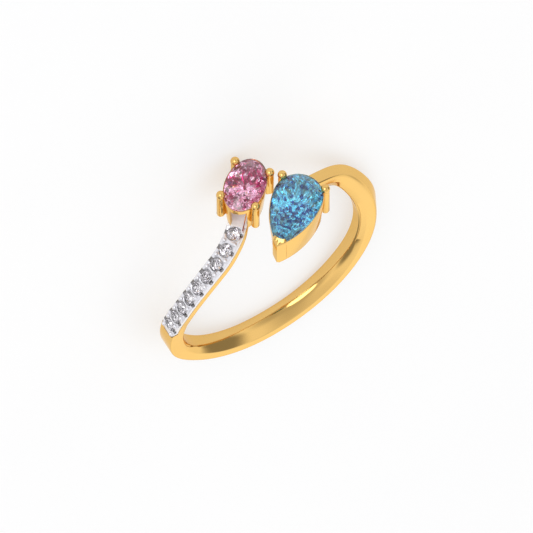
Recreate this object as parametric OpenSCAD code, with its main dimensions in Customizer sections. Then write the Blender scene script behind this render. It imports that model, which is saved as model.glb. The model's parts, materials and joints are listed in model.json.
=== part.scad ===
// Toi et moi ring: an open band whose two arms pass each other, one ending in an oval
// stone and one in a pear stone, with a white strip of small round stones on the oval's arm.
// Millimetres. The ring is drawn as worn, with the stones at the top (+Z) and the finger
// along Y, and is then laid on its side, as it rests on a table.

/* [Finger hole] */
// Diameter of the finger hole
bore_d = 16.5; // [15:0.1:20]

/* [Band] */
// Width of the band along the finger
band_w = 1.65; // [1.4:0.05:2.2]
// Thickness of the band from the finger hole outwards
band_h = 1.45; // [1.2:0.05:1.9]
// How far each arm swings away from the middle before it turns back to its stone
sway = 1.5; // [0.9:0.05:1.9]
// Bevel of the band's outer edges
edge_b = 0.1; // [0.05:0.01:0.15]

/* [Stones] */
// Length of the oval stone
oval_l = 4.64; // [4:0.05:5.2]
// Width of the oval stone
oval_w = 3.12; // [2.6:0.05:3.4]
// Length of the pear stone
pear_l = 6.4; // [5.4:0.05:6.8]
// Width of the pear stone
pear_w = 3.82; // [3.2:0.05:4]
// Thickness of each large stone's edge
girdle_h = 0.12; // [0.08:0.01:0.2]
// Height of the large stones' widest line above the top of the finger hole
stone_rise = 4.28; // [4:0.05:5]
// Turn of both stones about the vertical
stone_turn = 38; // [32:1:44]
// Gap between the two stones
pair_gap = 0.63; // [0.6:0.05:0.9]
// How far the gap lies from the middle of the ring
pair_side = 0.27; // [0:0.05:0.5]
// How far the oval is moved along its length
oval_shift = 0.28; // [0.1:0.05:0.5]
// How far the pear is moved back along its length
pear_shift = 0.2; // [0:0.05:0.5]

/* [Settings] */
// Wall thickness of the settings
wall = 0.3; // [0.24:0.02:0.4]
// Diameter of the claws and their ball ends
claw_d = 0.64; // [0.5:0.02:0.7]
// Gap between a stone and the metal that holds it
seat_gap = 0.03; // [0.02:0.01:0.05]
// Height of the settings' lower edge above the top of the finger hole
setting_rise = 0.8; // [0.7:0.05:1]

/* [Small stones] */
// Diameter of the small stones
pave_d = 1.05; // [0.9:0.05:1.1]
// Angle from one small stone to the next
pave_step = 7.7; // [7.4:0.1:7.8]
// Thickness of the white strip
strip_h = 0.36; // [0.3:0.02:0.4]
// Gap between the white strip and the band
strip_gap = 0.02; // [0.01:0.01:0.04]
// Diameter of the bead prongs
bead_d = 0.32; // [0.24:0.02:0.36]

/* [Hidden] */

// Levels above the finger's axis
bore_r = bore_d / 2;
girdle_z = bore_r + stone_rise;
foot_z = bore_r + setting_rise;
// Upper side of the collars, just under the stones' edges
collar_z = girdle_z - girdle_h / 2 - seat_gap;
// Middle of the ball ends, above the stones' edges
ball_up = 0.17;
ball_z = girdle_z + ball_up;
// How far one form reaches past another that cuts it or joins it
over = 0.1;

// Collars: how far they stand out of the stones' edges at the top, and draw in at the foot
collar_out = 0.05;
oval_in = 0.25;
pear_in = 0.15;
// Foot of the pear's setting, above the oval's
pear_foot = foot_z + 0.35 * setting_rise;

// Directions along the stones, towards the pear's point, and across them, towards the pear
along = [-cos(stone_turn), -sin(stone_turn)];
across = [sin(stone_turn), -cos(stone_turn)];
oval_at = oval_shift * along + (pair_side - pair_gap / 2 - oval_w / 2) * across;
pear_at = -pear_shift * along + (pair_side + pair_gap / 2 + pear_w / 2) * across;

// Radius of the band's middle line, and the left arm's end, in the far wall of the oval's setting
reach = bore_r + band_h * 0.7;
arm_at = oval_at - (oval_l / 2 - oval_in - wall) * along - 0.1 * oval_w * across;
arm_end = -180 - asin(arm_at.x / reach);

// Proportions of the cut stones, as shares of their width
crown = 0.15;
pavilion = 0.43;
table = 0.56;

// Pear outline: half circle at the round end, two arcs meeting at the point
pear_r = pear_w / 2;
tip_x = pear_l - pear_r;
flank_r = (tip_x * tip_x + pear_r * pear_r) / (2 * pear_r);

// White strip: angles of its two ends, of its rounded end, of the gap at its ends and of its
// first stone
strip_top = -172;
strip_low = -92;
strip_round = 5.2;
strip_end = 0.3;
pave_first = -160.5;
pave_n = 9;
// Height of the recess over the band's surface, which also clears the collar's foot
room_up = 0.35;
// Small stones: depth and thickness of their edge, depth of their seat and of the pocket under it
pave_sink = 0.05;
pave_edge = 0.04;
pave_seat = 0.25;
pocket = 0.6;

// Band sections. Columns: angle from the bottom of the ring, side as a share of the sway,
// width as a share of the band's width, near and far height as shares of its thickness,
// inner crest as a share of the half width, depth of the near inner edge as a share of
// the thickness
ANGLE = 0;
SIDE = 1;
WIDTH = 2;
NEAR = 3;
FAR = 4;
CREST = 5;
DIP = 6;
sections = [
    [arm_end, -arm_at.y / sway, 0.85, 0.85, 0.85, 0.98, 0.3],
    [-167, -0.46, 0.96, 0.75, 0.7, 0.98, 0.3],
    [-160, 0.21, 0.96, 0.75, 0.69, 0.98, 0.3],
    [-151, 0.68, 0.97, 0.74, 0.68, 0.98, 0.3],
    [-143, 0.88, 0.98, 0.73, 0.68, 0.98, 0.3],
    [-128, 0.99, 0.96, 0.72, 0.68, 0.98, 0.3],
    [-112, 0.9, 0.95, 0.72, 0.7, 0.98, 0.3],
    [-100, 0.7, 0.97, 0.76, 0.78, 0.98, 0.3],
    [-75, 0.39, 0.98, 0.95, 0.92, 0.95, 0.3],
    [-45, 0.17, 0.98, 0.87, 1, 0.35, 0.32],
    [0, 0, 1, 1, 1.04, 0, 0.48],
    [45, -0.06, 0.94, 1, 1.1, 0.3, 0.5],
    [75, -0.12, 0.8, 1.02, 1.38, 0.55, 0.36],
    [100, -0.37, 0.66, 0.95, 1.42, 0.7, 0.4],
    [125, -0.87, 0.62, 0.9, 1.15, 0.7, 0.45],
    [150, -0.45, 0.6, 0.95, 1, 0.8, 0.45],
    [171, 0.04, 0.6, 0.97, 0.98, 0.8, 0.45]
];
last = len(sections) - 1;
band_from = sections[0][ANGLE];
band_to = sections[last][ANGLE];
// Angle from one section to the next
band_step = 4;
// How far the sections reach into the finger hole, which is then cut through them
bore_cut = 0.3;
// Bevel of the far inner edge
inner_b = 0.1;
// The left arm's end rises off the finger from this angle on, by this much for each degree
rise_from = -172;
rise = bore_cut / 3;

// Smooth curve through one column of the sections
function row(t, i = 1) = i == last || t <= sections[i][ANGLE] ? i : row(t, i + 1);
function lean(i, c) =
    let (a = sections[max(i - 1, 0)], b = sections[min(i + 1, last)])
    (b[c] - a[c]) / (b[ANGLE] - a[ANGLE]);
function share(t, c) =
    let (
        i = row(t),
        a = sections[i - 1],
        b = sections[i],
        d = b[ANGLE] - a[ANGLE],
        k = (t - a[ANGLE]) / d
    )
    a[c] * (1 + 2 * k) * (1 - k) * (1 - k) + b[c] * k * k * (3 - 2 * k)
    + lean(i - 1, c) * d * k * (1 - k) * (1 - k) - lean(i, c) * d * k * k * (1 - k);

// Sizes of the band at one angle
function side(t) = sway * share(t, SIDE);
function half(t) = band_w * share(t, WIDTH) / 2;
function near_h(t) = band_h * share(t, NEAR);
function far_h(t) = band_h * share(t, FAR);
// Outer height at a place across the band, from -1 at the far edge to 1 at the near edge
function outer_h(t, k) = (near_h(t) * (1 + k) + far_h(t) * (1 - k)) / 2;
function lift(t) = max(0, (rise_from - t) * rise);

// Point at an angle round the finger, a place along the finger and a height over the hole
function place(t, n, h) = [(bore_r + h) * sin(t), -n, -(bore_r + h) * cos(t)];

// Slant of the band's middle line, and a point across it, square to that line
function slant(t) = (side(t + 1) - side(t - 1)) * 90 / (PI * reach);
function across_at(t, a, h) =
    let (k = slant(t), n = norm([1, k]))
    place(t - a * k / n * 180 / (PI * reach), side(t) + a / n, h);

// Closed surface through rings of equal length
function flat(v) = [for (r = v) for (p = r) p];
module loft(rings) {
    m = len(rings[0]);
    n = len(rings);
    polyhedron(
        flat(rings),
        concat(
            [[for (j = [0 : m - 1]) j]],
            [[for (j = [m - 1 : -1 : 0]) (n - 1) * m + j]],
            [for (i = [0 : n - 2]) for (j = [0 : m - 1]) [i * m + j, (i + 1) * m + j, i * m + (j + 1) % m]],
            [for (i = [0 : n - 2]) for (j = [0 : m - 1])
                [i * m + (j + 1) % m, (i + 1) * m + j, (i + 1) * m + (j + 1) % m]]
        )
    );
}

// Ring of points of the band at one angle
function band_ring(t) =
    let (
        w = half(t),
        hn = near_h(t),
        hf = far_h(t),
        c = share(t, CREST) * w,
        dip = share(t, DIP) * band_h,
        up = lift(t)
    )
    [
        across_at(t, -w, up + 0.8 * inner_b),
        across_at(t, inner_b - w, up - bore_cut),
        across_at(t, max(c - (w - c) * bore_cut / dip, 1.1 * inner_b - w), up - bore_cut),
        across_at(t, w, up + dip),
        across_at(t, w, hn - edge_b),
        across_at(t, w - edge_b, hn),
        across_at(t, edge_b - w, hf),
        across_at(t, -w, hf - edge_b)
    ];
stations = concat([for (t = [band_from : band_step : band_to - band_step / 2]) t], [band_to]);

// The strip rises towards the oval's rail from this angle on, by this much at its top end
ramp_from = -163.5;
ramp_h = 0.55;
function ramp(t) = ramp_h * pow(max(0, (ramp_from - t) / (ramp_from - strip_top)), 1.5);

// Rings of a strip lying on the left arm: share of the half width, and depths of its two
// sides below the band's surface
function strip_ring(t, k, low, high) =
    let (w = k * half(t))
    [
        across_at(t, -w, outer_h(t, -k) - low),
        across_at(t, w, outer_h(t, k) - low),
        across_at(t, w, outer_h(t, k) - high + ramp(t)),
        across_at(t, -w, outer_h(t, -k) - high + ramp(t))
    ];
function strip_rings(from, to, wide, cap, low, high) = concat(
    [for (t = [from : band_step : to - strip_round - band_step / 2]) strip_ring(t, wide, low, high)],
    [for (f = [0 : 18 : 72]) strip_ring(to - strip_round * (1 - sin(f)), cap * blunt(f), low, high)],
    [strip_ring(to, cap * blunt(80), low, high)]
);
function blunt(f) = sqrt(cos(f));
module strip_room() {
    loft(strip_rings(strip_top, strip_low + strip_end, 1.08, 1.04, strip_h + strip_gap, -room_up));
}

// Edge points of the large stones, numbered from 0 at one end to 16 all the way round
function oval_edge(i, o = 0) = [(oval_l / 2 + o) * cos(22.5 * i), (oval_w / 2 + o) * sin(22.5 * i)];
function flank_end(o) = acos((flank_r - pear_r) / (flank_r + o));
function pear_half(i, o) =
    let (f = flank_end(o) * (1 - i / 4))
    i < 4 ? [(flank_r + o) * sin(f), (flank_r + o) * cos(f) - flank_r + pear_r]
    : [(pear_r + o) * cos(22.5 * i), (pear_r + o) * sin(22.5 * i)];
function pear_edge(i, o = 0) =
    let (p = pear_half(i <= 8 ? i : 16 - i, o))
    i <= 8 ? p : [p.x, -p.y];
function round_edge(i, o = 0) = (pave_d / 2 + o) * [cos(22.5 * i), sin(22.5 * i)];

// Cut stone round its own middle, made larger all round by o
function at_height(p, z) = [p.x, p.y, z];
function stone_rings(edge, width, edge_h, o) =
    let (
        top = edge_h / 2 + o,
        c = crown * width,
        d = pavilion * width
    )
    [
        [for (i = [0 : 15]) at_height(edge[i] * 0.02, -top - d)],
        [for (i = [0 : 15]) at_height(edge[i] * (i % 2 == 0 ? 0.5 : 0.53), -top - d / 2)],
        [for (i = [0 : 15]) at_height(edge[i], -top)],
        [for (i = [0 : 15]) at_height(edge[i], top)],
        [for (i = [0 : 15]) at_height(edge[i] * (i % 2 == 0 ? 0.8 : 0.82), top + c * 0.5)],
        [for (i = [0 : 15])
            at_height(i % 2 == 0 ? edge[i] * table : (edge[i - 1] + edge[(i + 1) % 16]) * table / 2,
                top + c)]
    ];
module stone(edge, width, edge_h, o = 0) {
    loft(stone_rings(edge, width, edge_h, o));
}
oval_ring = [for (i = [0 : 15]) oval_edge(i)];
pear_ring = [for (i = [0 : 15]) pear_edge(i)];
round_ring = [for (i = [0 : 15]) round_edge(i)];

// The two settings' own frames
module at_oval() {
    translate([oval_at.x, oval_at.y, 0]) rotate([0, 0, 180 + stone_turn]) children();
}
module at_pear() {
    translate([pear_at.x, pear_at.y, 0]) rotate([0, 0, 180 + stone_turn]) children();
}

// Large stones, one edge gap larger where the metal is cut for them
module oval_gem(o = 0) {
    at_oval() translate([0, 0, girdle_z]) stone([for (i = [0 : 15]) oval_edge(i, o)], oval_w, girdle_h, o);
}
module pear_gem(o = 0) {
    at_pear() translate([0, 0, girdle_z]) stone([for (i = [0 : 15]) pear_edge(i, o)], pear_w, girdle_h, o);
}

// Ball-ended claw standing from a level up to the stone's edge
claw_off = 0.34 * claw_d;
ball_wide = 1.12;
module claw(p, from) {
    translate([p.x, p.y, from]) cylinder(d = claw_d, h = ball_z - from, $fn = 24);
    translate([p.x, p.y, ball_z]) sphere(d = ball_wide * claw_d, $fn = 24);
}

// Collar between an outer and an inner surface
module collar(outer_foot, outer_top, inner_foot, inner_top) {
    difference() {
        loft([outer_foot, outer_top]);
        loft([inner_foot, inner_top]);
    }
}

// Oval setting: tapering collar and four claws on short webs
function oval_level(o, z) = [for (i = [0 : 0.5 : 15.5]) at_height(oval_edge(i, o), z)];
claw_up = 0.75;
claw_foot = foot_z + claw_up;
claw_turn = 52;
module oval_collar() {
    collar(
        oval_level(-oval_in, foot_z),
        oval_level(collar_out, collar_z),
        oval_level(-oval_in - wall, foot_z - over),
        oval_level(collar_out - wall, collar_z + over)
    );
}
function oval_claw(sx, sy) =
    [sx * (oval_l / 2 + claw_off) * cos(claw_turn), sy * (oval_w / 2 + claw_off) * sin(claw_turn)];
module oval_claws() {
    for (sx = [-1, 1])
        for (sy = [-1, 1]) {
            p = oval_claw(sx, sy);
            claw(p, claw_foot);
            rotate([0, 0, atan2(p.y, p.x)])
                translate([0.7 * norm(p), -wall / 2, claw_foot + over])
                    cube([0.3 * norm(p), wall, collar_z - claw_foot - 3 * over]);
        }
}
module oval_setting() {
    difference() {
        at_oval() oval_collar();
        arm_opening();
    }
    at_oval() oval_claws();
}

// Opening in the oval's collar under its rail, where the left arm runs in: height of the rail,
// and the two sides of the opening as shares of the oval's width
rail_h = 0.5;
open_far = -0.15;
open_near = 0.27;
module arm_opening() {
    at_oval() translate([0.3 * oval_l, open_far * oval_w, foot_z - over])
        cube([0.3 * oval_l, (open_near - open_far) * oval_w, collar_z - rail_h - foot_z + over]);
}

// Pear setting: tapering collar, two claws at the round end and a folded claw at the point
function pear_level(o, z) = [for (i = [0 : 0.5 : 15.5]) at_height(pear_edge(i, o), z)];
// Folded claw: how far it stands out of the stone's edge, its length and its foot, and how far
// its top reaches in over the stone and above the stone's edge
hood = 0.14;
hood_l = 0.56;
hood_foot = pear_foot + 0.95 * setting_rise;
hood_in = 0.3;
hood_up = 0.34;
hood_z = girdle_z + hood_up;
module pear_collar() {
    collar(
        pear_level(-pear_in, pear_foot),
        pear_level(collar_out, collar_z),
        pear_level(-pear_in - wall, pear_foot - over),
        pear_level(collar_out - wall, collar_z + over)
    );
}
module point_claw() {
    difference() {
        intersection() {
            loft([pear_level(hood, hood_foot), pear_level(hood, girdle_z), pear_level(-hood_in, hood_z)]);
            translate([tip_x - hood_l, -pear_r, 0]) cube([pear_r * 2, pear_r * 2, 2 * girdle_z]);
        }
        loft([pear_level(-pear_in - wall, pear_foot - over), pear_level(collar_out - wall, collar_z)]);
    }
}
module pear_claws() {
    for (sy = [-1, 1])
        claw([-(pear_r + claw_off) * sin(35), sy * (pear_r + claw_off) * cos(35)], pear_foot);
}
module pear_setting() {
    at_pear() {
        pear_collar();
        point_claw();
        pear_claws();
    }
}

// Frame of one small stone, its edge level with the strip's surface
function pave_angle(i) = pave_first + pave_step * (i - 1);
module at_pave(i) {
    t = pave_angle(i);
    translate(place(t, side(t), outer_h(t, 0) - pave_sink)) rotate([0, 180 - t, 0]) children();
}
module pave_stone(i) {
    at_pave(i) stone(round_ring, pave_d, pave_edge);
}

// Pockets in the gold under the small stones
module pave_pockets() {
    for (i = [1 : pave_n])
        at_pave(i) translate([0, 0, -pocket]) cylinder(d = 0.7 * pave_d, h = pocket + room_up, $fn = 24);
}

// How the ring lies: two places on the edge of the band and the foot of one claw touch the table
rest_t = [8, 12];
rest_a = across_at(rest_t[0], -half(rest_t[0]), far_h(rest_t[0]) - edge_b);
rest_b = across_at(rest_t[1], -half(rest_t[1]), far_h(rest_t[1]) - edge_b);
rest_claw = oval_claw(-1, -1);
rest_c = at_height(oval_at + rest_claw.x * along + rest_claw.y * across + [0, claw_d / 2], claw_foot);
function unit(v) = v / norm(v);
down = unit(cross(rest_b - rest_a, rest_c - rest_a)) * -1;
up_dir = down.y > 0 ? -down : down;
head_dir = unit([0, 0, -1] + up_dir.z * up_dir);
side_dir = cross(head_dir, up_dir);
module laid() {
    multmatrix([
        [side_dir.x, side_dir.y, side_dir.z, 0],
        [head_dir.x, head_dir.y, head_dir.z, 0],
        [up_dir.x, up_dir.y, up_dir.z, 0],
        [0, 0, 0, 1]
    ]) children();
}

// Yellow gold body: band, both settings, finger hole and seats
module band() {
    color([0.93, 0.75, 0.42]) laid() difference() {
        union() {
            loft([for (t = stations) band_ring(t)]);
            oval_setting();
            pear_setting();
        }
        strip_room();
        pave_pockets();
        rotate([90, 0, 0]) cylinder(r = bore_r, h = bore_d, center = true, $fn = 96);
        oval_gem(seat_gap);
        pear_gem(seat_gap);
    }
}

// White strip with its drilled seats and bead prongs
seat_r = pave_d / 2 + seat_gap;
module pave_plate() {
    color([0.9, 0.9, 0.92]) laid() {
        difference() {
            loft(strip_rings(strip_top + strip_end, strip_low, 1, 1, strip_h, 0));
            for (i = [1 : pave_n])
                at_pave(i) {
                    translate([0, 0, -pocket]) cylinder(d = 0.6 * pave_d, h = 2 * pocket, $fn = 24);
                    translate([0, 0, -pave_seat])
                        cylinder(r1 = 0.33 * pave_d, r2 = seat_r, h = pave_seat - pave_sink, $fn = 24);
                    translate([0, 0, -pave_sink]) cylinder(r = seat_r, h = pocket, $fn = 24);
                }
        }
        beads();
    }
}
bead_off = 0.46;
module beads() {
    for (i = [1 : pave_n])
        for (k = [-1, 1]) {
            t = pave_first + pave_step * (i - 0.5);
            translate(across_at(t, k * bead_off, outer_h(t, k * bead_off / half(t))))
                sphere(d = bead_d, $fn = 16);
        }
}

module oval_stone() {
    color([0.95, 0.6, 0.75]) laid() oval_gem();
}
module pear_stone() {
    color([0.25, 0.6, 0.9]) laid() pear_gem();
}
module pave_stone_1() {
    color([0.95, 0.95, 0.98]) laid() pave_stone(1);
}
module pave_stone_2() {
    color([0.95, 0.95, 0.98]) laid() pave_stone(2);
}
module pave_stone_3() {
    color([0.95, 0.95, 0.98]) laid() pave_stone(3);
}
module pave_stone_4() {
    color([0.95, 0.95, 0.98]) laid() pave_stone(4);
}
module pave_stone_5() {
    color([0.95, 0.95, 0.98]) laid() pave_stone(5);
}
module pave_stone_6() {
    color([0.95, 0.95, 0.98]) laid() pave_stone(6);
}
module pave_stone_7() {
    color([0.95, 0.95, 0.98]) laid() pave_stone(7);
}
module pave_stone_8() {
    color([0.95, 0.95, 0.98]) laid() pave_stone(8);
}
module pave_stone_9() {
    color([0.95, 0.95, 0.98]) laid() pave_stone(9);
}

band();
pave_plate();
oval_stone();
pear_stone();
pave_stone_1();
pave_stone_2();
pave_stone_3();
pave_stone_4();
pave_stone_5();
pave_stone_6();
pave_stone_7();
pave_stone_8();
pave_stone_9();
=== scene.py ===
"""Toi et moi ring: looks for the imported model, lying on its side as the model does."""
import json
import math
import random

import bmesh
import bpy
from mathutils import Matrix, Vector


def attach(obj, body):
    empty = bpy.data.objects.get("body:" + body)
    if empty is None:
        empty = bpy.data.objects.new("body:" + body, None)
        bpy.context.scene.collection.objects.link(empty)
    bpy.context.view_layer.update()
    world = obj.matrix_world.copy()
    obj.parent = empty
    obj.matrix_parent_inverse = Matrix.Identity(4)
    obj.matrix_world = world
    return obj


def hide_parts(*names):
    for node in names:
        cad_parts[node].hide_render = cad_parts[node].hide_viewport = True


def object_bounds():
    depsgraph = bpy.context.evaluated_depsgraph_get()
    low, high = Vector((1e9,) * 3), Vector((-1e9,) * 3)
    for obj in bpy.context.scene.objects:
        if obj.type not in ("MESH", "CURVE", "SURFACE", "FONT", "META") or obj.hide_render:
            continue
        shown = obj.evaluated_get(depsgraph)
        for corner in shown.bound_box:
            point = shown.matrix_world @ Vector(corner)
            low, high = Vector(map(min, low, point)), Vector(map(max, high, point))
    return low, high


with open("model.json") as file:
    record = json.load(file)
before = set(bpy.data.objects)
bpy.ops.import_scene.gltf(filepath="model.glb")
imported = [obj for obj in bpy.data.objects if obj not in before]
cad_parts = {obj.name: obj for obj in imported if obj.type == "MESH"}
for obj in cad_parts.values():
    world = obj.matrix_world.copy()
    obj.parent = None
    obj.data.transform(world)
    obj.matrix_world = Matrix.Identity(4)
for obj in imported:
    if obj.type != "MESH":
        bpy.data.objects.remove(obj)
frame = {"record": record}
cad_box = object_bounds()

# One millimetre in metres
MM = 0.001

# Sizes in millimetres, the same as the model's, and angles round the finger in degrees
BORE_R = 8.25
BAND_W = 1.65
BAND_H = 1.45
SWAY = 1.5
OVAL_L = 4.64
OVAL_W = 3.12
PEAR_L = 6.4
PEAR_W = 3.82
GIRDLE_H = 0.12
STONE_RISE = 4.28
STONE_TURN = math.radians(38)
PAIR_GAP = 0.63
PAIR_SIDE = 0.27
OVAL_SHIFT = 0.28
PEAR_SHIFT = 0.2
WALL = 0.3
CLAW_D = 0.64
SEAT_GAP = 0.03
SETTING_RISE = 0.8
OVAL_IN = 0.25
PEAR_IN = 0.15
COLLAR_OUT = 0.05
RAIL_H = 0.5
BALL_UP = 0.17
PAVE_N = 9
PAVE_D = 1.05
PAVE_FIRST = -160.5
PAVE_STEP = 7.7
PAVE_EDGE = 0.04
PAVE_SINK = 0.05
STRIP_H = 0.36
STRIP_GAP = 0.02
STRIP_TOP = -172
STRIP_LOW = -92
STRIP_ROUND = 5.2
STRIP_END = 0.3
RAMP_FROM = -163.5
RAMP_H = 0.55

# Levels, radii and offsets worked out from them
GIRDLE_Z = BORE_R + STONE_RISE
FOOT_Z = BORE_R + SETTING_RISE
COLLAR_Z = GIRDLE_Z - GIRDLE_H / 2 - SEAT_GAP
BALL_Z = GIRDLE_Z + BALL_UP
REACH = BORE_R + BAND_H * 0.7
PEAR_R = PEAR_W / 2
TIP_X = PEAR_L - PEAR_R
FLANK_R = (TIP_X**2 + PEAR_R**2) / (2 * PEAR_R)
CLAW_OFF = 0.34 * CLAW_D
PEAR_FOOT = FOOT_Z + 0.35 * SETTING_RISE

# Directions along and across the stones, their middles, and the end of the oval's arm
ALONG = Vector((-math.cos(STONE_TURN), -math.sin(STONE_TURN), 0))
ACROSS = Vector((math.sin(STONE_TURN), -math.cos(STONE_TURN), 0))
UP = Vector((0, 0, 1))
OVAL_AT = ALONG * OVAL_SHIFT + ACROSS * (PAIR_SIDE - PAIR_GAP / 2 - OVAL_W / 2)
PEAR_AT = -ALONG * PEAR_SHIFT + ACROSS * (PAIR_SIDE + PAIR_GAP / 2 + PEAR_W / 2)
ARM_AT = OVAL_AT - ALONG * (OVAL_L / 2 - OVAL_IN - WALL) - ACROSS * (0.1 * OVAL_W)
ARM_END = -180 - math.degrees(math.asin(ARM_AT.x / REACH))

# Band sections, as in the model: angle, side, width, near and far height, crest, dip
ANGLE, SIDE, WIDTH, NEAR, FAR, CREST, DIP = range(7)
SECTIONS = (
    (ARM_END, -ARM_AT.y / SWAY, 0.85, 0.85, 0.85, 0.98, 0.3),
    (-167, -0.46, 0.96, 0.75, 0.7, 0.98, 0.3),
    (-160, 0.21, 0.96, 0.75, 0.69, 0.98, 0.3),
    (-151, 0.68, 0.97, 0.74, 0.68, 0.98, 0.3),
    (-143, 0.88, 0.98, 0.73, 0.68, 0.98, 0.3),
    (-128, 0.99, 0.96, 0.72, 0.68, 0.98, 0.3),
    (-112, 0.9, 0.95, 0.72, 0.7, 0.98, 0.3),
    (-100, 0.7, 0.97, 0.76, 0.78, 0.98, 0.3),
    (-75, 0.39, 0.98, 0.95, 0.92, 0.95, 0.3),
    (-45, 0.17, 0.98, 0.87, 1, 0.35, 0.32),
    (0, 0, 1, 1, 1.04, 0, 0.48),
    (45, -0.06, 0.94, 1, 1.1, 0.3, 0.5),
    (75, -0.12, 0.8, 1.02, 1.38, 0.55, 0.36),
    (100, -0.37, 0.66, 0.95, 1.42, 0.7, 0.4),
    (125, -0.87, 0.62, 0.9, 1.15, 0.7, 0.45),
    (150, -0.45, 0.6, 0.95, 1, 0.8, 0.45),
    (171, 0.04, 0.6, 0.97, 0.98, 0.8, 0.45),
)

# Steps along the band and round each rounded corner of its section
BAND_STEPS = 236
CORNER = 6
# Radii of the section's corners, what the first two gain where the crest is under SOFT_BELOW,
# and what the near outer one gains where the far side is the higher one
INNER_R = 0.12
CREST_R = 0.2
DIP_R = 0.22
NEAR_R = 0.12
FAR_R = 0.1
SOFT_BELOW = 0.5
SOFT_INNER = 0.3
SOFT_CREST = 3
SOFT_NEAR = 1.2
# The oval's arm rises off the finger from this angle on, by this much for each degree
RISE_FROM = -174
RISE = 0.1
# Line cut along the inner crest: depth, and where it starts, ends and over how much it fades
GROOVE = 0.09
GROOVE_RIGHT = (62, 158, 12)
GROOVE_LEFT = (-96, -58, 8)

# Strip: steps along it and round its end, how far round the end is drawn, depth of its surface
# under the band's, radii and steps of its corners, and the angle up to which it is plain
STRIP_STEPS = 44
END_STEPS = 14
END_TURN = 86
STRIP_SINK = 0.02
STRIP_UNDER_R = 0.02
STRIP_EDGE_R = 0.09
STRIP_CORNER = 3
PLAIN_TO = -164.4
# Recess for the strip: width against the strip's along it and in its round end, how far it goes
# past the end, and its reach above the band
ROOM_WIDE = 1.08
ROOM_END_WIDE = 1.03
ROOM_PAST = 0.1
ROOM_UP = 0.35
# Gold line in the strip's plain end: start, length and steps, the place across the strip whose
# height it has, and its corners as distances in from the edge and heights
SEAM_FROM = -171
SEAM_SPAN = 9
SEAM_STEPS = 10
SEAM_AT = 0.8
SEAM_CORNERS = ((0.2, -0.1), (0.12, -0.1), (0.12, 0.012), (0.2, 0.012))

# Opening under the oval's rail: its ends and sides as shares of the oval, and its reach down
OPEN_FROM = 0.3
OPEN_TO = 0.6
OPEN_FAR = -0.15
OPEN_NEAR = 0.27
OPEN_UNDER = 0.2

# Collars: steps round them and round each corner, width and fall of the ledge, depth of the
# seat's slope, and radii of the corners
COLLAR_STEPS = 144
COLLAR_CORNER = 4
LEDGE_IN = 0.12
LEDGE_DROP = 0.02
SEAT_DROP = 0.3
FOOT_R = 0.07
RIM_R = 0.05
LEDGE_R = 0.03
SEAT_R = 0.1

# Claws: the oval's turn from its long axis, the pear's from its widest line, height of the oval's
# above the foot of its setting, width of the balls, and the inner struts' place and radius as
# shares and their end as a depth under the balls
CLAW_TURN = math.radians(52)
PEAR_TURN = math.radians(35)
CLAW_UP = 0.75
BALL_WIDE = 1.12
STRUT_IN = 0.9
STRUT_R = 0.38
STRUT_UNDER = 0.9
# Rods: rounded foot as shares of the radius and heights, and sides
ROD_FOOT = ((0.75, 0), (0.94, 0.03), (1, 0.09))
ROD_SIDES = 28

# Folded claw: how far it stands out, its foot, its reach each way along the pear's edge as a share
# of a turn, half of its length across at the point, and how lines further back shorten and bow
HOOD = 0.14
HOOD_FOOT = PEAR_FOOT + 0.75
HOOD_REACH = 0.0375
HOOD_L = 0.56
HOOD_NARROW = 0.3
HOOD_BOW = 0.28
HOOD_STEPS = 16
# Its outer and under side as offsets from the stone's edge and levels, and its top as distances
# back from the point and heights above the stone's edge
HOOD_OUTSIDE = (
    (-0.12, HOOD_FOOT + 0.05),
    (HOOD - 0.03, HOOD_FOOT),
    (HOOD, HOOD_FOOT + 0.03),
    (HOOD, GIRDLE_Z - 0.04),
    (HOOD - 0.03, GIRDLE_Z + 0.05),
    (HOOD - 0.09, GIRDLE_Z + 0.13),
)
HOOD_TOP = ((0.18, 0.24), (0.4, 0.345), (0.44, 0.32), (0.44, 0.22), (0.25, 0.14))
HOOD_UNDER = ((-0.02, GIRDLE_Z + 0.08), (-0.02, GIRDLE_Z - 0.1))

# Small stones' pockets in the gold and seats in the strip, as radii and levels, and their sides
POCKET_R = 0.35 * PAVE_D
POCKET_PROFILE = ((POCKET_R, -0.6), (POCKET_R, 0.3))
POCKET_SIDES = 24
SEAT_PROFILE = ((0.2, -0.6), (0.3, -0.3), (PAVE_D / 2 + 0.01, -0.06), (PAVE_D / 2 + 0.04, 0.3))
SEAT_SIDES = 32
# Scallops in the strip's rim: radius, height of the middle, inner and outer end, and sides
SCALLOP_R = 0.25
SCALLOP_UP = 0.13
SCALLOP_ENDS = (0.4, 0.95)
SCALLOP_SIDES = 20
# Bead prongs: distance from the strip's middle, profile as radii and heights, and sides
BEAD_OFF = 0.5
BEAD_PROFILE = ((0.19, -0.2), (0.185, 0.0), (0.17, 0.08), (0.13, 0.14), (0.06, 0.17))
BEAD_SIDES = 16

# Cuts of the stones: corners round the table, heights and table as shares of the width, rows of
# facets below the edge, how loosely they are cut, and how far the lowest point is moved
OVAL_CUT = {
    "n": 16, "crown": 0.15, "pavilion": 0.43, "table": 0.58,
    "rows": 6, "loose": 0.22, "seed": 3, "keel": 0,
}
PEAR_CUT = {
    "n": 20, "crown": 0.15, "pavilion": 0.47, "table": 0.58,
    "rows": 9, "loose": 0.24, "seed": 8, "keel": 0.7,
}
PAVE_CUT = {
    "n": 10, "crown": 0.15, "pavilion": 0.43, "table": 0.56,
    "rows": 3, "loose": 0.08, "seed": 1, "keel": 0,
}
# Star facets' corners: distance past halfway to the edge, and height in the crown
STAR_OUT = 0.03
STAR_UP = 0.5
# How the rows below the edge draw in and bulge, how far loose corners lift, and their widest share
DRAW_IN = 1.12
BULGE = 0.1
LOOSE_LIFT = 0.3
LOOSE_WIDEST = 0.98
# How much larger the outside of the lower facets is than the layer that mirrors within
SKIN = 1.006

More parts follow.
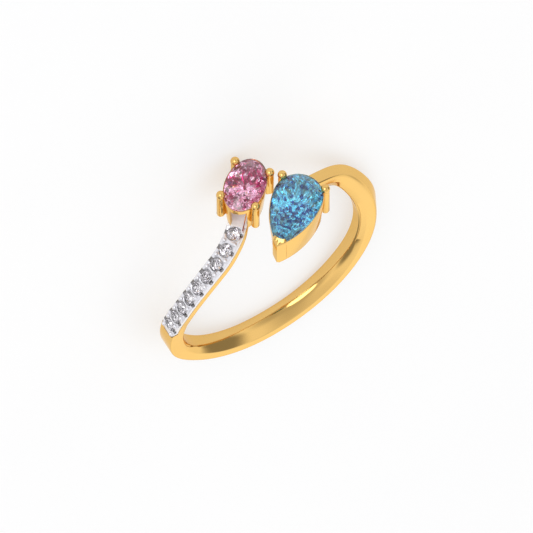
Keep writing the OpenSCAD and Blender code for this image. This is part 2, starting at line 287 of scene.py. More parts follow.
# Angle between faces in degrees from which an edge is sharp
SHARP = 32
COLLAR_SHARP = 40
CLAW_SHARP = 50
HOOD_SHARP = 30
BEAD_SHARP = 60

# Patches a metre of the painted sparkle on the large and small stones' lower facets (light and deep
# patches that stand for reflections within), and steps a metre of the metals' drift of colour and
# fine polish and of the floor's drift of tone
PAINTED_SPARKLE_PATCHES = 3300
SMALL_PAINTED_SPARKLE_PATCHES = 9000
METAL_DRIFT = 260
POLISH = 3000
FLOOR_DRIFT = 40
# Tint of the metals where the light glances off them
EDGE_TINT = (1, 0.86, 0.62)

# Camera: turn and tilt, metres that one pixel of the photograph covers, its width in pixels,
# shift to the right and up in pixels, and distance
VIEW_AZ = math.radians(31.74)
VIEW_EL = math.radians(61.5)
PIXEL = MM / 13.2
VIEW_W = 533
VIEW_RIGHT = 0.1
VIEW_UP = 0.8
CAMERA_FAR = 0.2

# Key light: how far aside and up from the camera's side, distance, diameter and power
KEY_ASIDE = 0.25
KEY_UP = 0.46
KEY_FAR = 1.2
KEY_SIZE = 0.8
KEY_POWER = 4
# Brightness of the studio's walls, and the floor's radius and sides
WALLS = 1.12
FLOOR_R = 1.5
FLOOR_SIDES = 96


# Band's course

def lay_matrix():
    """Turns the ring as worn, in millimetres, into the model's frame in metres."""
    mount = frame["record"]["mounts"][0]
    y = -Vector(mount["axis"]).normalized()
    z = Vector((0, y.z, -y.y)).normalized()
    if z.y > 0:
        z = -z
    x = y.cross(z)
    return Matrix((x, y, z)).transposed() * MM


LAY = lay_matrix()


def smooth(t, column):
    """Smooth curve through one column of the sections."""
    last = len(SECTIONS) - 1
    i = next((k for k in range(1, last) if t <= SECTIONS[k][ANGLE]), last)
    a, b = SECTIONS[i - 1], SECTIONS[i]
    d = b[ANGLE] - a[ANGLE]
    k = (t - a[ANGLE]) / d

    def lean(j):
        p, q = SECTIONS[max(j - 1, 0)], SECTIONS[min(j + 1, last)]
        return (q[column] - p[column]) / (q[ANGLE] - p[ANGLE])

    return (
        a[column] * (1 + 2 * k) * (1 - k) ** 2
        + b[column] * k * k * (3 - 2 * k)
        + lean(i - 1) * d * k * (1 - k) ** 2
        - lean(i) * d * k * k * (1 - k)
    )


def side(t):
    """Where the band's middle line lies along the finger."""
    return SWAY * smooth(t, SIDE)


def half(t):
    """Half of the band's width."""
    return BAND_W * smooth(t, WIDTH) / 2


def outer_h(t, k):
    """Outer height from k = -1 at the far edge to 1 at the near edge."""
    return BAND_H * (smooth(t, NEAR) * (1 + k) + smooth(t, FAR) * (1 - k)) / 2


def place(t, n, h):
    """Point at an angle round the finger, n along it and h above the finger hole."""
    a = math.radians(t)
    return Vector(((BORE_R + h) * math.sin(a), -n, -(BORE_R + h) * math.cos(a)))


def across(t, a, h):
    """Point a across the band, square to its middle line, h above the finger hole."""
    k = math.degrees((side(t + 1) - side(t - 1)) / 2 / REACH)
    n = math.hypot(1, k)
    return place(t - math.degrees(a * k / n / REACH), side(t) + a / n, h)


def outward(t):
    """Direction away from the finger at an angle round it."""
    a = math.radians(t)
    return Vector((math.sin(a), 0, -math.cos(a)))


def ahead(t):
    """Direction round the finger at an angle round it."""
    a = math.radians(t)
    return Vector((math.cos(a), 0, math.sin(a)))


# Mesh helpers

def turns(count):
    """Angles of equal steps round a full turn."""
    return [2 * math.pi * j / count for j in range(count)]


def on_circle(a):
    """Point of the unit circle at an angle."""
    return Vector((math.cos(a), math.sin(a)))


def link(name, data):
    """New object of the scene from a mesh, camera or light."""
    obj = bpy.data.objects.new(name, data)
    bpy.context.scene.collection.objects.link(obj)
    return obj


def make_object(name, bm, material, angle=SHARP):
    """Object in the model's frame from a mesh drawn as worn, in millimetres."""
    bmesh.ops.recalc_face_normals(bm, faces=bm.faces)
    bm.transform(LAY.to_4x4())
    mesh = bpy.data.meshes.new(name)
    bm.to_mesh(mesh)
    bm.free()
    mesh.shade_smooth()
    if angle:
        mesh.set_sharp_from_angle(angle=math.radians(angle))
    else:
        mesh.shade_flat()
    mesh.materials.append(material)
    return link(name, mesh)


def add_loft(bm, rings, closed=False):
    """Quads through rings of equal length; closed joins the last ring to the first."""
    rows = [[bm.verts.new(p) for p in ring] for ring in rings]
    pairs = list(zip(rows, rows[1:]))
    if closed:
        pairs.append((rows[-1], rows[0]))
    for a, b in pairs:
        for j in range(len(a)):
            k = (j + 1) % len(a)
            bm.faces.new((a[j], a[k], b[k], b[j]))
    if not closed:
        bm.faces.new(rows[0])
        bm.faces.new(rows[-1])


def rounded(corners, steps):
    """Closed outline with rounded corners from (x, y, radius) corners."""
    out = []
    count = len(corners)
    for i, (x, y, r) in enumerate(corners):
        p = Vector((x, y))
        a = Vector(corners[i - 1][:2]) - p
        b = Vector(corners[(i + 1) % count][:2]) - p
        cut = min(r / math.tan(a.angle(b) / 2), 0.45 * a.length, 0.45 * b.length)
        start, end = p + a.normalized() * cut, p + b.normalized() * cut
        for s in range(steps + 1):
            f = s / steps
            out.append(start * (1 - f) ** 2 + p * 2 * f * (1 - f) + end * f * f)
    return out


def carve(obj, cutter):
    """Cuts one object with another, which is then removed."""
    mod = obj.modifiers.new("cut", "BOOLEAN")
    mod.operation = "DIFFERENCE"
    mod.solver = "EXACT"
    mod.object = cutter
    graph = bpy.context.evaluated_depsgraph_get()
    mesh = bpy.data.meshes.new_from_object(obj.evaluated_get(graph))
    obj.modifiers.clear()
    obj.data = mesh
    bpy.data.objects.remove(cutter)


def join(name, parts):
    """One object from several, with the first one's materials."""
    bm = bmesh.new()
    for part in parts:
        bm.from_mesh(part.data)
    mesh = bpy.data.meshes.new(name)
    bm.to_mesh(mesh)
    bm.free()
    for material in parts[0].data.materials:
        mesh.materials.append(material)
    for part in parts:
        bpy.data.objects.remove(part)
    return link(name, mesh)


# Stones' outlines and frames

def oval_point(f, o=0.0):
    """Point of the oval's edge at the share f of a turn, moved out by o."""
    a = 2 * math.pi * f
    return Vector(((OVAL_L / 2 + o) * math.cos(a), (OVAL_W / 2 + o) * math.sin(a)))


def pear_point(f, o=0.0):
    """The same for the pear, from its point round its blunt end."""
    g = f % 1
    h = g if g <= 0.5 else 1 - g
    if h < 0.25:
        a = math.acos((FLANK_R - PEAR_R) / (FLANK_R + o)) * (1 - 4 * h)
        p = Vector(((FLANK_R + o) * math.sin(a), (FLANK_R + o) * math.cos(a) - FLANK_R + PEAR_R))
    else:
        a = 2 * math.pi * h
        p = Vector(((PEAR_R + o) * math.cos(a), (PEAR_R + o) * math.sin(a)))
    return p if g <= 0.5 else Vector((p.x, -p.y))


def round_point(f):
    """Point of a small stone's edge."""
    return on_circle(2 * math.pi * f) * (PAVE_D / 2)


def oval_frame(p, z):
    """Point p of the oval's plan at the level z."""
    return OVAL_AT + ALONG * p.x + ACROSS * p.y + UP * z


def pear_frame(p, z):
    """Point p of the pear's plan at the level z."""
    return PEAR_AT + ALONG * p.x + ACROSS * p.y + UP * z


def pave_angle(i):
    return PAVE_FIRST + PAVE_STEP * i


def pave_frame(i):
    """Frame function of a small stone, its edge just under the strip's surface."""
    t = pave_angle(i)
    up = outward(t)
    x = ahead(t)
    y = up.cross(x)
    centre = place(t, side(t), outer_h(t, 0) - PAVE_SINK)
    return lambda p, z: centre + x * p.x + y * p.y + up * z


def add_turned(bm, framed, profile, sides):
    """Round form in a frame from (radius, height) pairs."""
    add_loft(bm, [[framed(on_circle(a) * r, z) for a in turns(sides)] for r, z in profile])


# Band

def window(t, start, end, fade):
    """1 between two angles, fading to 0 at each."""
    return min(1, max(0, (t - start) / fade)) * min(1, max(0, (end - t) / fade))


def groove(t):
    """Share of its depth that the line along the crest has at one angle."""
    return max(window(t, *GROOVE_RIGHT), window(t, *GROOVE_LEFT))


def band_section(t):
    """Outline of the band at one angle, from its far inner corner on."""
    w = half(t)
    crest = smooth(t, CREST)
    dip = smooth(t, DIP) * BAND_H
    up = max(0, (RISE_FROM - t) * RISE)
    soft = max(0, 1 - crest / SOFT_BELOW)
    swell = max(0, smooth(t, FAR) - smooth(t, NEAR))
    section = rounded((
        (-w, up, INNER_R + SOFT_INNER * soft),
        (crest * w, up, CREST_R + SOFT_CREST * soft),
        (w, up + dip, DIP_R),
        (w, outer_h(t, 1), NEAR_R + SOFT_NEAR * swell),
        (-w, outer_h(t, -1), FAR_R),
    ), CORNER)
    for i in range(CORNER + 1):
        deep = 1 - abs(2 * i / CORNER - 1)
        section[CORNER + 1 + i].y += GROOVE * deep * groove(t)
    return section


def build_band(gold):
    bm = bmesh.new()
    span = SECTIONS[-1][ANGLE] - ARM_END
    angles = [ARM_END + span * i / BAND_STEPS for i in range(BAND_STEPS + 1)]
    add_loft(bm, [[across(t, p.x, p.y) for p in band_section(t)] for t in angles])
    return make_object("band_sweep", bm, gold)


# Strip's course and its recess

def ramp(t):
    """Rise of the strip's surface towards the oval's rail."""
    return RAMP_H * max(0, (RAMP_FROM - t) / (RAMP_FROM - STRIP_TOP)) ** 1.5


def strip_angles(start, end):
    """Angles and width shares of the strip, which closes in a round end."""
    straight = end - STRIP_ROUND
    out = [(start + (straight - start) * i / STRIP_STEPS, 1.0) for i in range(STRIP_STEPS)]
    for i in range(END_STEPS + 1):
        a = math.radians(END_TURN * i / END_STEPS)
        out.append((straight + STRIP_ROUND * math.sin(a), math.cos(a) ** 0.5))
    return out


def room_section(t, k):
    """Outline of the strip's recess at one angle, for the strip's width share k."""
    wide = k * (ROOM_WIDE if k == 1 else ROOM_END_WIDE)
    low = -STRIP_H - STRIP_GAP
    high = ROOM_UP + ramp(t)
    corners = ((-wide, low), (wide, low), (wide, high), (-wide, high))
    return [across(t, s * half(t), outer_h(t, s) + up) for s, up in corners]


def build_strip_room(gold):
    """Cutter of the strip's recess."""
    bm = bmesh.new()
    add_loft(bm, [room_section(t, k) for t, k in strip_angles(STRIP_TOP, STRIP_LOW + ROOM_PAST)])
    return make_object("strip_room", bm, gold)


def build_seam(gold):
    """Narrow line of yellow gold let into the strip's plain top end."""
    bm = bmesh.new()
    rows = []
    for i in range(SEAM_STEPS + 1):
        t = SEAM_FROM + SEAM_SPAN * i / SEAM_STEPS
        h = outer_h(t, SEAM_AT) - STRIP_SINK + ramp(t)
        rows.append([across(t, half(t) - off, h + up) for off, up in SEAM_CORNERS])
    add_loft(bm, rows)
    return make_object("seam", bm, gold)


# Settings

def build_opening(gold):
    """Cutter of the opening under the oval's rail, where the arm comes in."""
    bm = bmesh.new()
    low = FOOT_Z - OPEN_UNDER
    high = COLLAR_Z - RAIL_H
    corners = ((OPEN_FAR, low), (OPEN_NEAR, low), (OPEN_NEAR, high), (OPEN_FAR, high))
    add_loft(bm, [
        [oval_frame(Vector((x * OVAL_L, y * OVAL_W)), z) for y, z in corners]
        for x in (OPEN_FROM, OPEN_TO)
    ])
    return make_object("opening", bm, gold)


def collar_profile(inset, foot):
    """Closed profile of a collar: (offset from the stone's edge, height)."""
    return rounded((
        (-inset, foot, FOOT_R),
        (COLLAR_OUT, COLLAR_Z, RIM_R),
        (-LEDGE_IN, COLLAR_Z - LEDGE_DROP, LEDGE_R),
        (COLLAR_OUT - WALL, COLLAR_Z - SEAT_DROP, SEAT_R),
        (-inset - WALL, foot, FOOT_R),
    ), COLLAR_CORNER)


def build_collar(name, point, framed, inset, foot, gold):
    bm = bmesh.new()
    profile = collar_profile(inset, foot)
    shares = [i / COLLAR_STEPS for i in range(COLLAR_STEPS)]
    add_loft(bm, [[framed(point(f, q.x), q.y) for q in profile] for f in shares], closed=True)
    return make_object(name, bm, gold, COLLAR_SHARP)


def add_rod(bm, centre, radius, low, high, framed, bulb=1.0):
    """Upright rod with a rounded foot and a ball end at high."""
    ball = radius * bulb
    profile = [(radius * share, low + up) for share, up in ROD_FOOT]
    profile.append((radius, high - ball))
    for i in range(-3, 9):
        a = math.radians(10 * i)
        profile.append((ball * math.cos(a), high + ball * math.sin(a)))
    add_turned(bm, lambda p, z: framed(centre + p, z), profile, ROD_SIDES)


def build_claws(gold):
    """Four claws with inner struts round the oval, and two at the pear's round end."""
    bm = bmesh.new()
    low = FOOT_Z + CLAW_UP
    oval_x = (OVAL_L / 2 + CLAW_OFF) * math.cos(CLAW_TURN)
    oval_y = (OVAL_W / 2 + CLAW_OFF) * math.sin(CLAW_TURN)
    for sx in (-1, 1):
        for sy in (-1, 1):
            p = Vector((sx * oval_x, sy * oval_y))
            add_rod(bm, p, CLAW_D / 2, low, BALL_Z, oval_frame, BALL_WIDE)
            add_rod(bm, p * STRUT_IN, CLAW_D * STRUT_R, low, BALL_Z - STRUT_UNDER, oval_frame)
    pear_x = -(PEAR_R + CLAW_OFF) * math.sin(PEAR_TURN)
    pear_y = (PEAR_R + CLAW_OFF) * math.cos(PEAR_TURN)
    for sy in (-1, 1):
        p = Vector((pear_x, sy * pear_y))
        add_rod(bm, p, CLAW_D / 2, PEAR_FOOT, BALL_Z, pear_frame, BALL_WIDE)
    return make_object("claws", bm, gold, CLAW_SHARP)


def hood_top(back, k):
    """Point of the folded claw's top, back from the pear's point, k across from -1 to 1."""
    x = TIP_X - back - HOOD_BOW * back * k * k
    return Vector((x, (HOOD_L - HOOD_NARROW * back) * k))


def build_point_claw(gold):
    """Claw folded over the pear's point, its inner edge nearly straight across."""
    bm = bmesh.new()
    rings = []
    for i in range(-HOOD_STEPS, HOOD_STEPS + 1):
        k = i / HOOD_STEPS
        f = HOOD_REACH * k
        ring = [pear_frame(pear_point(f, o), z) for o, z in HOOD_OUTSIDE]
        ring += [pear_frame(hood_top(back, k), GIRDLE_Z + up) for back, up in HOOD_TOP]
        ring += [pear_frame(pear_point(f, o), z) for o, z in HOOD_UNDER]
        rings.append(ring)
    add_loft(bm, rings)
    return make_object("point_claw", bm, gold, HOOD_SHARP)


# Yellow gold body

def build_pockets(gold):
    """Cutter of the pockets in the gold under the small stones."""
    bm = bmesh.new()
    for i in range(PAVE_N):
        add_turned(bm, pave_frame(i), POCKET_PROFILE, POCKET_SIDES)
    return make_object("pockets", bm, gold)


def build_body(gold):
    band = build_band(gold)
    oval_collar = build_collar("oval_collar", oval_point, oval_frame, OVAL_IN, FOOT_Z, gold)
    pear_collar = build_collar("pear_collar", pear_point, pear_frame, PEAR_IN, PEAR_FOOT, gold)
    rest = [build_claws(gold), build_point_claw(gold), build_seam(gold)]
    carve(band, build_strip_room(gold))
    carve(oval_collar, build_strip_room(gold))
    carve(oval_collar, build_opening(gold))
    carve(band, build_pockets(gold))
    body = join("gold_body", [band, oval_collar, pear_collar, *rest])
    body.data.set_sharp_from_angle(angle=math.radians(SHARP))
    return body


# White strip

def strip_section(t, k):
    """Outline of the strip at one angle, for its width share k."""
    high = ramp(t) - STRIP_SINK
    corners = (
        (-k, -STRIP_H, STRIP_UNDER_R),
        (k, -STRIP_H, STRIP_UNDER_R),
        (k, high, STRIP_EDGE_R),
        (-k, high, STRIP_EDGE_R),
    )
    return rounded([(s * half(t), outer_h(t, s) + up, r) for s, up, r in corners], STRIP_CORNER)


def build_strip(metal, shade, satin):
    """Strip with its plain end in satin, and with seats and scallops in dark metal that is painted
    shade.
    """
    bm = bmesh.new()
    stations = strip_angles(STRIP_TOP + STRIP_END, STRIP_LOW)
    rows = [[across(t, p.x, p.y) for p in strip_section(t, k)] for t, k in stations]
    add_loft(bm, rows)
    plain = sum(t < PLAIN_TO for t, k in stations)
    bm.faces.ensure_lookup_table()
    for face in bm.faces[:plain * len(rows[0])]:
        face.material_index = 2
    strip = make_object("strip_sweep", bm, metal)
    strip.data.materials.append(shade)
    strip.data.materials.append(satin)
    carve(strip, build_seats(shade))
    carve(strip, build_scallops(shade))
    return strip


def painted_shade_cutter(name, bm, shade):
    """Cutter that leaves the second material of the piece it cuts, the dark metal of painted shade,
    on its cut faces.
    """
    cutter = make_object(name, bm, shade)
    cutter.data.materials.append(shade)
    for face in cutter.data.polygons:
        face.material_index = 1
    return cutter


def build_seats(shade):
    """Cutter of the small stones' seats, whose walls it leaves in painted shade."""
    bm = bmesh.new()
    for i in range(PAVE_N):
        add_turned(bm, pave_frame(i), SEAT_PROFILE, SEAT_SIDES)
    return painted_shade_cutter("seats", bm, shade)


def build_scallops(shade):
    """Cutter of the scallops in the strip's rim beside each small stone, left in painted shade."""
    bm = bmesh.new()
    for i in range(PAVE_N):
        t = pave_angle(i)
        points = [on_circle(a) * SCALLOP_R for a in turns(SCALLOP_SIDES)]
        arc = [outward(t) * p.x + ahead(t) * p.y for p in points]
        for k in (-1, 1):
            middles = [across(t, k * off, outer_h(t, k) + SCALLOP_UP) for off in SCALLOP_ENDS]
            add_loft(bm, [[middle + p for p in arc] for middle in middles])
    return painted_shade_cutter("scallops", bm, shade)


def build_beads(metal):
    """Two bead prongs after each small stone."""
    bm = bmesh.new()
    for i in range(PAVE_N):
        t = pave_angle(i + 0.5)
        up = outward(t)
        x = up.orthogonal().normalized()
        y = up.cross(x)
        for a in (-BEAD_OFF, BEAD_OFF):
            base = across(t, a, outer_h(t, a / half(t)))
            add_turned(bm, lambda p, z: base + x * p.x + y * p.y + up * z, BEAD_PROFILE, BEAD_SIDES)
    return make_object("beads", bm, metal, BEAD_SHARP)


# Cut stones

def lower_row(k, top, deep, rows):
    """Scale, height and half-step turn of the k-th row below a stone's edge."""
    f = k / (rows + 1)
    return 1 - f**DRAW_IN, -top - deep * ((1 + BULGE) * f - BULGE * f * f), k % 2


def add_upper(bm, table, star, upper, lower):
    """Table, crown facets and the band of facets round the edge."""
    n = len(table)
    bm.faces.new(table)
    for i in range(n):
        j = (i + 1) % n
        bm.faces.new((table[i], table[j], star[i]))
        bm.faces.new((table[j], star[i], upper[2 * j]))
        bm.faces.new((table[j], upper[2 * j], star[j]))
        bm.faces.new((star[i], upper[2 * i], upper[2 * i + 1]))
        bm.faces.new((star[i], upper[2 * i + 1], upper[2 * j]))
    for i in range(2 * n):
        j = (i + 1) % (2 * n)
        bm.faces.new((upper[i], upper[j], lower[j], lower[i]))


def add_gem(bm, point, width, framed, girdle, cut):
    """Cut stone with n-fold crown, 2n-fold edge and staggered rows of small facets below."""
    n, rows, loose, keel = cut["n"], cut["rows"], cut["loose"], cut["keel"]
    top = girdle / 2
    crown = cut["crown"] * width
    deep = cut["pavilion"] * width
    dice = random.Random(cut["seed"])

    def ring(scale, z, turned, play=0.0, shift=0.0):
        out = []
        for i in range(n):
            nudge = 1 + play * (dice.random() - 0.5)
            lift = play * width * LOOSE_LIFT * (dice.random() - 0.5)
            p = point((i + turned / 2) / n) * min(scale * nudge, LOOSE_WIDEST)
            out.append(bm.verts.new(framed(p + Vector((shift, 0)), z + lift)))
        return out

    def lower_ring(k):
        scale, z, turned = lower_row(k, top, deep, rows)
        return ring(scale, z, turned, loose, keel * (1 - scale))

    def edge(z):
        return [bm.verts.new(framed(point(i / (2 * n)), z)) for i in range(2 * n)]

    table = ring(cut["table"], top + crown, 0)
    star = ring((1 + cut["table"]) / 2 + STAR_OUT, top + crown * STAR_UP, 1)
    upper = edge(top)
    lower = edge(-top)
    add_upper(bm, table, star, upper, lower)
    above = len(bm.faces)

    outer = lower[::2]
    current = lower_ring(1)
    for i in range(n):
        j = (i + 1) % n
        bm.faces.new((current[i], lower[2 * i + 1], outer[i]))
        bm.faces.new((current[i], outer[j], lower[2 * i + 1]))
    tip = bm.verts.new(framed(Vector((keel, 0)), -top - deep))
    for row in range(2, rows + 2):
        inner = lower_ring(row) if row <= rows else [tip] * n
        for i in range(n):
            j = (i + 1) % n
            k = j if row % 2 == 0 else i
            bm.faces.new((outer[k], current[i], inner[k]))
            bm.faces.new((outer[k], inner[k], current[j]))
        outer, current = current, inner

    bm.faces.ensure_lookup_table()
    below = bm.faces[above:]
    for face in below:
        face.material_index = 1
    add_skin(bm, below, framed(Vector((0, 0)), 0))


def add_skin(bm, faces, middle):
    """Opaque coloured outside of the lower facets, just off the layer that mirrors within."""
    made = bmesh.ops.duplicate(bm, geom=faces)["geom"]
    for item in made:
        if isinstance(item, bmesh.types.BMVert):
            item.co = middle + (item.co - middle) * SKIN
        elif isinstance(item, bmesh.types.BMFace):
            item.material_index = 2


def build_gem(name, point, width, framed, materials, girdle, cut):
    bm = bmesh.new()
    add_gem(bm, point, width, framed, girdle, cut)
    bmesh.ops.remove_doubles(bm, verts=bm.verts, dist=1e-5)
    gem = make_object(name, bm, materials[0], 0)
    for material in materials[1:]:
        gem.data.materials.append(material)
    return gem


# Shader helpers

def new_material(name, values):
    """Material whose shader has the given values, with its nodes, links and shader."""
    mat = bpy.data.materials.new(name)
    mat.use_nodes = True
    tree = mat.node_tree
    bsdf = tree.nodes["Principled BSDF"]
    for socket, value in values.items():
        bsdf.inputs[socket].default_value = value
    return mat, tree.nodes, tree.links, bsdf


def texture(nodes, links, kind, scale):
    """Texture node over the object's own coordinates, in steps a metre."""
    coords = nodes.new("ShaderNodeTexCoord")
    node = nodes.new(kind)
    node.inputs["Scale"].default_value = scale
    links.new(coords.outputs["Object"], node.inputs["Vector"])
    return node


def tones(nodes, links, source, dark, light, start=0.0, end=1.0):
    """Colour that runs from dark to light as the source runs from start to end."""
    ramp_node = nodes.new("ShaderNodeValToRGB")
    first, second = ramp_node.color_ramp.elements
    first.position = start
    first.color = (*dark, 1)
    second.position = end
    second.color = (*light, 1)
    links.new(source, ramp_node.inputs["Fac"])
    return ramp_node.outputs["Color"]


# Metals

def metal_material(name, colour, deep, roughness, metallic=1.0):
    """Polished metal: faint colour drift, hairline polish in the roughness and bump."""
    mat, nodes, links, bsdf = new_material(name, {
        "Metallic": metallic,
        "Specular Tint": (*EDGE_TINT, 1),
    })
    cloud = texture(nodes, links, "ShaderNodeTexNoise", METAL_DRIFT)
    cloud.inputs["Detail"].default_value = 3
    tone = tones(nodes, links, cloud.outputs["Fac"], deep, colour, 0.35, 0.65)
    links.new(tone, bsdf.inputs["Base Color"])
    fine = texture(nodes, links, "ShaderNodeTexNoise", POLISH)
    fine.inputs["Detail"].default_value = 4
    rough = nodes.new("ShaderNodeMapRange")
    rough.inputs["To Min"].default_value = roughness * 0.8
    rough.inputs["To Max"].default_value = roughness * 1.25
    links.new(fine.outputs["Fac"], rough.inputs["Value"])
    links.new(rough.outputs["Result"], bsdf.inputs["Roughness"])
    bump = nodes.new("ShaderNodeBump")
    bump.inputs["Strength"].default_value = 0.05
    bump.inputs["Distance"].default_value = 0.00001
    links.new(fine.outputs["Fac"], bump.inputs["Height"])
    links.new(bump.outputs["Normal"], bsdf.inputs["Normal"])
    return mat


def yellow_gold():
    return metal_material("yellow_gold", (0.80, 0.51, 0.17), (0.78, 0.49, 0.16), 0.12)


def white_gold():
    return metal_material("white_gold", (0.8, 0.8, 0.85), (0.76, 0.76, 0.82), 0.16, 0.55)


def white_satin():
    return metal_material("white_gold_satin", (1, 1, 1), (0.96, 0.96, 1), 0.5, 0)


# Dark copy of the white metal for the seats and scallops: painted shade in the recesses round the
# small stones.
def white_painted_shade():
    return metal_material("white_gold_painted_shade", (0.3, 0.29, 0.3), (0.2, 0.19, 0.2), 0.3)


# Stones' materials

def gem_body(name, colour, ior):
    """Clear coloured stone."""
    return new_material(name, {
        "Base Color": (*colour, 1),
        "Roughness": 0,
        "IOR": ior,
        "Transmission Weight": 1,
        "Specular IOR Level": 0.2,
    })[0]


def gem_back(name, colour, deep, sparkle_patches, painted_glow):
    """Facets under a stone's edge, which mirror the light back up, with painted sparkle: light and
    deep patches of colour stand for reflections within, and a painted glow in the same colours.
    """
    mat, nodes, links, bsdf = new_material(name, {
        "Emission Strength": painted_glow,
        "Roughness": 0,
        "Metallic": 0.9,
    })
    cells = texture(nodes, links, "ShaderNodeTexVoronoi", sparkle_patches)
    tone = tones(nodes, links, cells.outputs["Color"], deep, colour, 0.28, 0.5)
    links.new(tone, bsdf.inputs["Base Color"])
    links.new(tone, bsdf.inputs["Emission Color"])
    return mat


def gem_skin(name, colour):
    """Opaque glossy colour that a stone shows from behind, with a faint painted glow that lifts it
    where it lies in shade.
    """
    return new_material(name, {
        "Base Color": (*colour, 1),
        "Emission Color": (*colour, 1),
        "Emission Strength": 0.12,
        "Roughness": 0.06,
        "IOR": 1.6,
    })[0]


# Each stone's lower facets get painted sparkle patches and a painted glow, and its skin a faint
# painted glow.
def pink_stone():
    return (
        gem_body("pink_gem", (1, 0.9, 0.95), 1.8),
        gem_back("pink_back", (1, 0.76, 0.9), (0.45, 0.005, 0.13), PAINTED_SPARKLE_PATCHES, 0.1),
        gem_skin("pink_skin", (0.9, 0.4, 0.6)),
    )


def blue_stone():
    return (
        gem_body("blue_gem", (0.8, 0.95, 1), 1.8),
        gem_back("blue_back", (0.4, 0.88, 1), (0.005, 0.1, 0.36), PAINTED_SPARKLE_PATCHES, 0.12),
        gem_skin("blue_skin", (0.2, 0.58, 0.9)),
    )


def clear_stone():
    return (
        gem_body("clear_gem", (0.98, 0.98, 1), 1.9),
        gem_back("clear_back", (1, 0.98, 1), (0.12, 0.11, 0.13), SMALL_PAINTED_SPARKLE_PATCHES, 0.03),
        gem_skin("clear_skin", (0.9, 0.9, 0.93)),
    )


# Floor

def floor_material():
    """Grey floor with a faint drift of tone, which its own light makes look nearly white."""
    mat, nodes, links, bsdf = new_material("pale_floor", {
        "Roughness": 0.8,
        "Emission Color": (1, 1, 1, 1),
        "Emission Strength": 0.54,
    })
    cloud = texture(nodes, links, "ShaderNodeTexNoise", FLOOR_DRIFT)
    tone = tones(nodes, links, cloud.outputs["Fac"], (0.43, 0.43, 0.435), (0.45, 0.45, 0.45))
    links.new(tone, bsdf.inputs["Base Color"])
    return mat


def add_floor():
    bm = bmesh.new()
    bmesh.ops.create_circle(bm, cap_ends=True, radius=FLOOR_R, segments=FLOOR_SIDES)
    mesh = bpy.data.meshes.new("floor")
    bm.to_mesh(mesh)
    bm.free()
    mesh.materials.append(floor_material())
    floor = link("floor", mesh)
    floor.location.z = cad_box[0][2]


# Camera and lights

def view_axes():
    """Right, up and towards the camera, in the model's frame."""
    right = Vector((math.cos(VIEW_AZ), -math.sin(VIEW_AZ), 0))
    flat = Vector((math.sin(VIEW_AZ), math.cos(VIEW_AZ), 0))
    toward = -flat * math.cos(VIEW_EL) + UP * math.sin(VIEW_EL)
    up = toward.cross(right)
    return [(LAY @ v).normalized() for v in (right, up, toward)]


def add_camera():
    right, up, toward = view_axes()
    data = bpy.data.cameras.new("camera")
    data.type = "ORTHO"
    data.ortho_scale = VIEW_W * PIXEL
    data.clip_start = 0.001
    data.clip_end = 10
    cam = link("camera", data)
    cam.matrix_world = Matrix((right, up, toward)).transposed().to_4x4()
    cam.location = toward * CAMERA_FAR + (right * VIEW_RIGHT + up * VIEW_UP) * PIXEL
    bpy.context.scene.camera = cam


def add_light(name, direction, distance, size, power):
    """Round lamp in a direction from the ring, turned towards it."""
    data = bpy.data.lights.new(name, "AREA")
    data.shape = "DISK"
    data.size = size
    data.energy = power
    lamp = link(name, data)
    d = direction.normalized()
    lamp.location = d * distance
    lamp.rotation_euler = d.to_track_quat("Z", "Y").to_euler()


def add_lobe(nodes, links, source, before, lobe):
    """Adds an amount of light within a cone round a direction, fading from end to start."""
    direction, start, end, amount = lobe
    dot = nodes.new("ShaderNodeVectorMath")
    dot.operation = "DOT_PRODUCT"
    dot.inputs[1].default_value = direction.normalized()
    links.new(source, dot.inputs[0])
    fade = nodes.new("ShaderNodeMapRange")
    fade.interpolation_type = "SMOOTHSTEP"
    fade.inputs["From Min"].default_value = start
    fade.inputs["From Max"].default_value = end
    fade.inputs["To Max"].default_value = amount
    links.new(dot.outputs["Value"], fade.inputs["Value"])
    add = nodes.new("ShaderNodeMath")
    add.operation = "ADD"
    links.new(fade.outputs["Result"], add.inputs[0])
    links.new(before, add.inputs[1])
    return add.outputs[0]


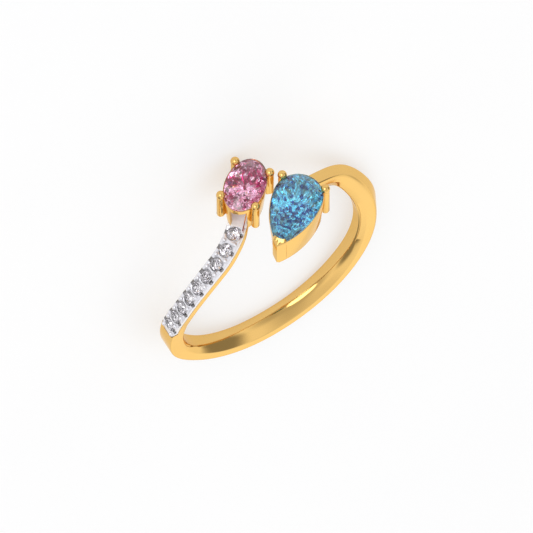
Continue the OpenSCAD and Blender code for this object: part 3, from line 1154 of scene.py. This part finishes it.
def add_studio(flat, aside):
    """Pale all round: dimmer overhead, behind the camera and at both sides, brighter opposite."""
    lobes = (
        (UP, 0.8, 0.96, -0.2),
        (flat + UP * 0.4, 0.5, 0.9, -0.5),
        (aside + UP * 0.3 - flat * 0.2, 0.8, 0.95, -0.8),
        (UP * 0.3 - aside - flat * 0.2, 0.8, 0.95, -0.8),
        (UP * 0.6 - flat, 0.8, 0.98, 0.15),
    )
    world = bpy.data.worlds.new("studio")
    bpy.context.scene.world = world
    world.use_nodes = True
    nodes, links = world.node_tree.nodes, world.node_tree.links
    coords = nodes.new("ShaderNodeTexCoord")
    walls = nodes.new("ShaderNodeValue")
    walls.outputs[0].default_value = WALLS
    level = walls.outputs[0]
    for lobe in lobes:
        level = add_lobe(nodes, links, coords.outputs["Generated"], level, lobe)
    background = nodes["Background"]
    background.inputs["Color"].default_value = (1, 1, 1, 1)
    links.new(level, background.inputs["Strength"])


def add_stage():
    add_floor()
    toward = view_axes()[2]
    flat = Vector((toward.x, toward.y, 0)).normalized()
    aside = UP.cross(flat)
    add_light("key", flat + aside * KEY_ASIDE + UP * KEY_UP, KEY_FAR, KEY_SIZE, KEY_POWER)
    add_studio(flat, aside)
    bpy.context.scene.view_settings.view_transform = "Standard"


# Assembly

def put(piece, node):
    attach(piece, "root")
    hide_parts(node)


def oval_level(p, z):
    """Point of the oval's plan, z above the middle of its edge."""
    return oval_frame(p, GIRDLE_Z + z)


def pear_level(p, z):
    """Point of the pear's plan, z above the middle of its edge."""
    return pear_frame(p, GIRDLE_Z + z)


def build_ring():
    put(build_body(yellow_gold()), "band")
    white = white_gold()
    strip = build_strip(white, white_painted_shade(), white_satin())
    put(join("white_strip", [strip, build_beads(white)]), "pave_plate")
    oval = build_gem("oval_gem", oval_point, OVAL_W, oval_level, pink_stone(), GIRDLE_H, OVAL_CUT)
    put(oval, "oval_stone")
    pear = build_gem("pear_gem", pear_point, PEAR_W, pear_level, blue_stone(), GIRDLE_H, PEAR_CUT)
    put(pear, "pear_stone")
    clear = clear_stone()
    for i in range(PAVE_N):
        name = "pave_gem_%d" % (i + 1)
        gem = build_gem(name, round_point, PAVE_D, pave_frame(i), clear, PAVE_EDGE, PAVE_CUT)
        put(gem, "pave_stone_%d" % (i + 1))


build_ring()
add_camera()
add_stage()
